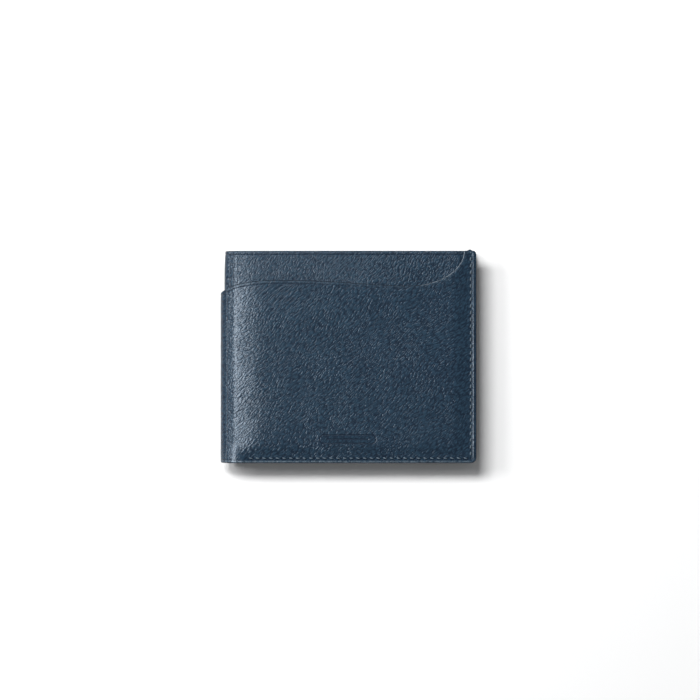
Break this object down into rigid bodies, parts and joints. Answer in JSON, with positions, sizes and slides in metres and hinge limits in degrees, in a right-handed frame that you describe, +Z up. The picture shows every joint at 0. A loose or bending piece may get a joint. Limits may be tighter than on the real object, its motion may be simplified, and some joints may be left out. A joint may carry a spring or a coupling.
{
  "type": "wallet",
  "caption": "Bifold leather wallet with a curved outer pocket, note compartments and stepped card pockets, closed and lying on its back cover.",
  "frame": {"origin": "centre of the closed wallet's footprint, on the surface that its back cover rests on", "axes": "+X from the spine to the stitched free edge, +Y towards the mouths of the pockets, +Z up through the closed wallet"},
  "size_m": [0.115, 0.0956, 0.015],
  "materials": {
    "outer_leather": "dark navy grained calf, low sheen, painted edges",
    "inner_leather": "dark navy grained calf, thin, creased lips",
    "board": "bonded leather fibre board, edges painted dark",
    "lining": "dark navy woven lining",
    "thread": "twisted navy thread"
  },
  "bodies": {
    "back_half": {"outer_pocket_back": "outer_leather", "cover_back": "outer_leather", "cover_board_back": "board", "cover_lining_back": "lining", "note_divider_back": "lining", "inner_lining_back": "lining", "inner_panel_back": "inner_leather", "card_pocket_rear_back": "inner_leather", "card_pocket_middle_back": "inner_leather", "card_pocket_front_back": "inner_leather", "outer_stitching_back": "thread", "inner_stitching_back": "thread"},
    "spine_lower": {"outer_pocket_spine_lower": "outer_leather", "cover_spine_lower": "outer_leather", "cover_lining_spine_lower": "lining", "note_divider_spine_lower": "lining", "inner_lining_spine_lower": "lining"},
    "spine_middle": {"outer_pocket_spine_middle": "outer_leather", "cover_spine_middle": "outer_leather", "cover_lining_spine_middle": "lining", "note_divider_spine_middle": "lining", "inner_lining_spine_middle": "lining"},
    "spine_upper": {"outer_pocket_spine_upper": "outer_leather", "cover_spine_upper": "outer_leather", "cover_lining_spine_upper": "lining", "note_divider_spine_upper": "lining", "inner_lining_spine_upper": "lining"},
    "front_half": {"outer_pocket_front": "outer_leather", "cover_front": "outer_leather", "cover_board_front": "board", "cover_lining_front": "lining", "note_divider_front": "lining", "inner_lining_front": "lining", "inner_panel_front": "inner_leather", "card_pocket_rear_front": "inner_leather", "card_pocket_middle_front": "inner_leather", "card_pocket_front_front": "inner_leather", "outer_stitching_front": "thread", "inner_stitching_front": "thread"}
  },
  "joints": [
    {"name": "fold_lower", "type": "hinge", "parent": "back_half", "child": "spine_lower", "pos_m": [-0.05287, 0, 0.00057], "axis": [0, -1, 0], "range_deg": [0, 45]},
    {"name": "fold_lower_middle", "type": "hinge", "parent": "spine_lower", "child": "spine_middle", "pos_m": [-0.05693, 0, 0.00463], "axis": [0, -1, 0], "range_deg": [0, 45]},
    {"name": "fold_upper_middle", "type": "hinge", "parent": "spine_middle", "child": "spine_upper", "pos_m": [-0.05693, 0, 0.01037], "axis": [0, -1, 0], "range_deg": [0, 45]},
    {"name": "fold_upper", "type": "hinge", "parent": "spine_upper", "child": "front_half", "pos_m": [-0.05287, 0, 0.01443], "axis": [0, -1, 0], "range_deg": [0, 45]}
  ],
  "couplings": [
    {"joint": "fold_lower_middle", "follows": "fold_lower", "ratio": 1},
    {"joint": "fold_upper_middle", "follows": "fold_lower", "ratio": 1},
    {"joint": "fold_upper", "follows": "fold_lower", "ratio": 1}
  ]
}
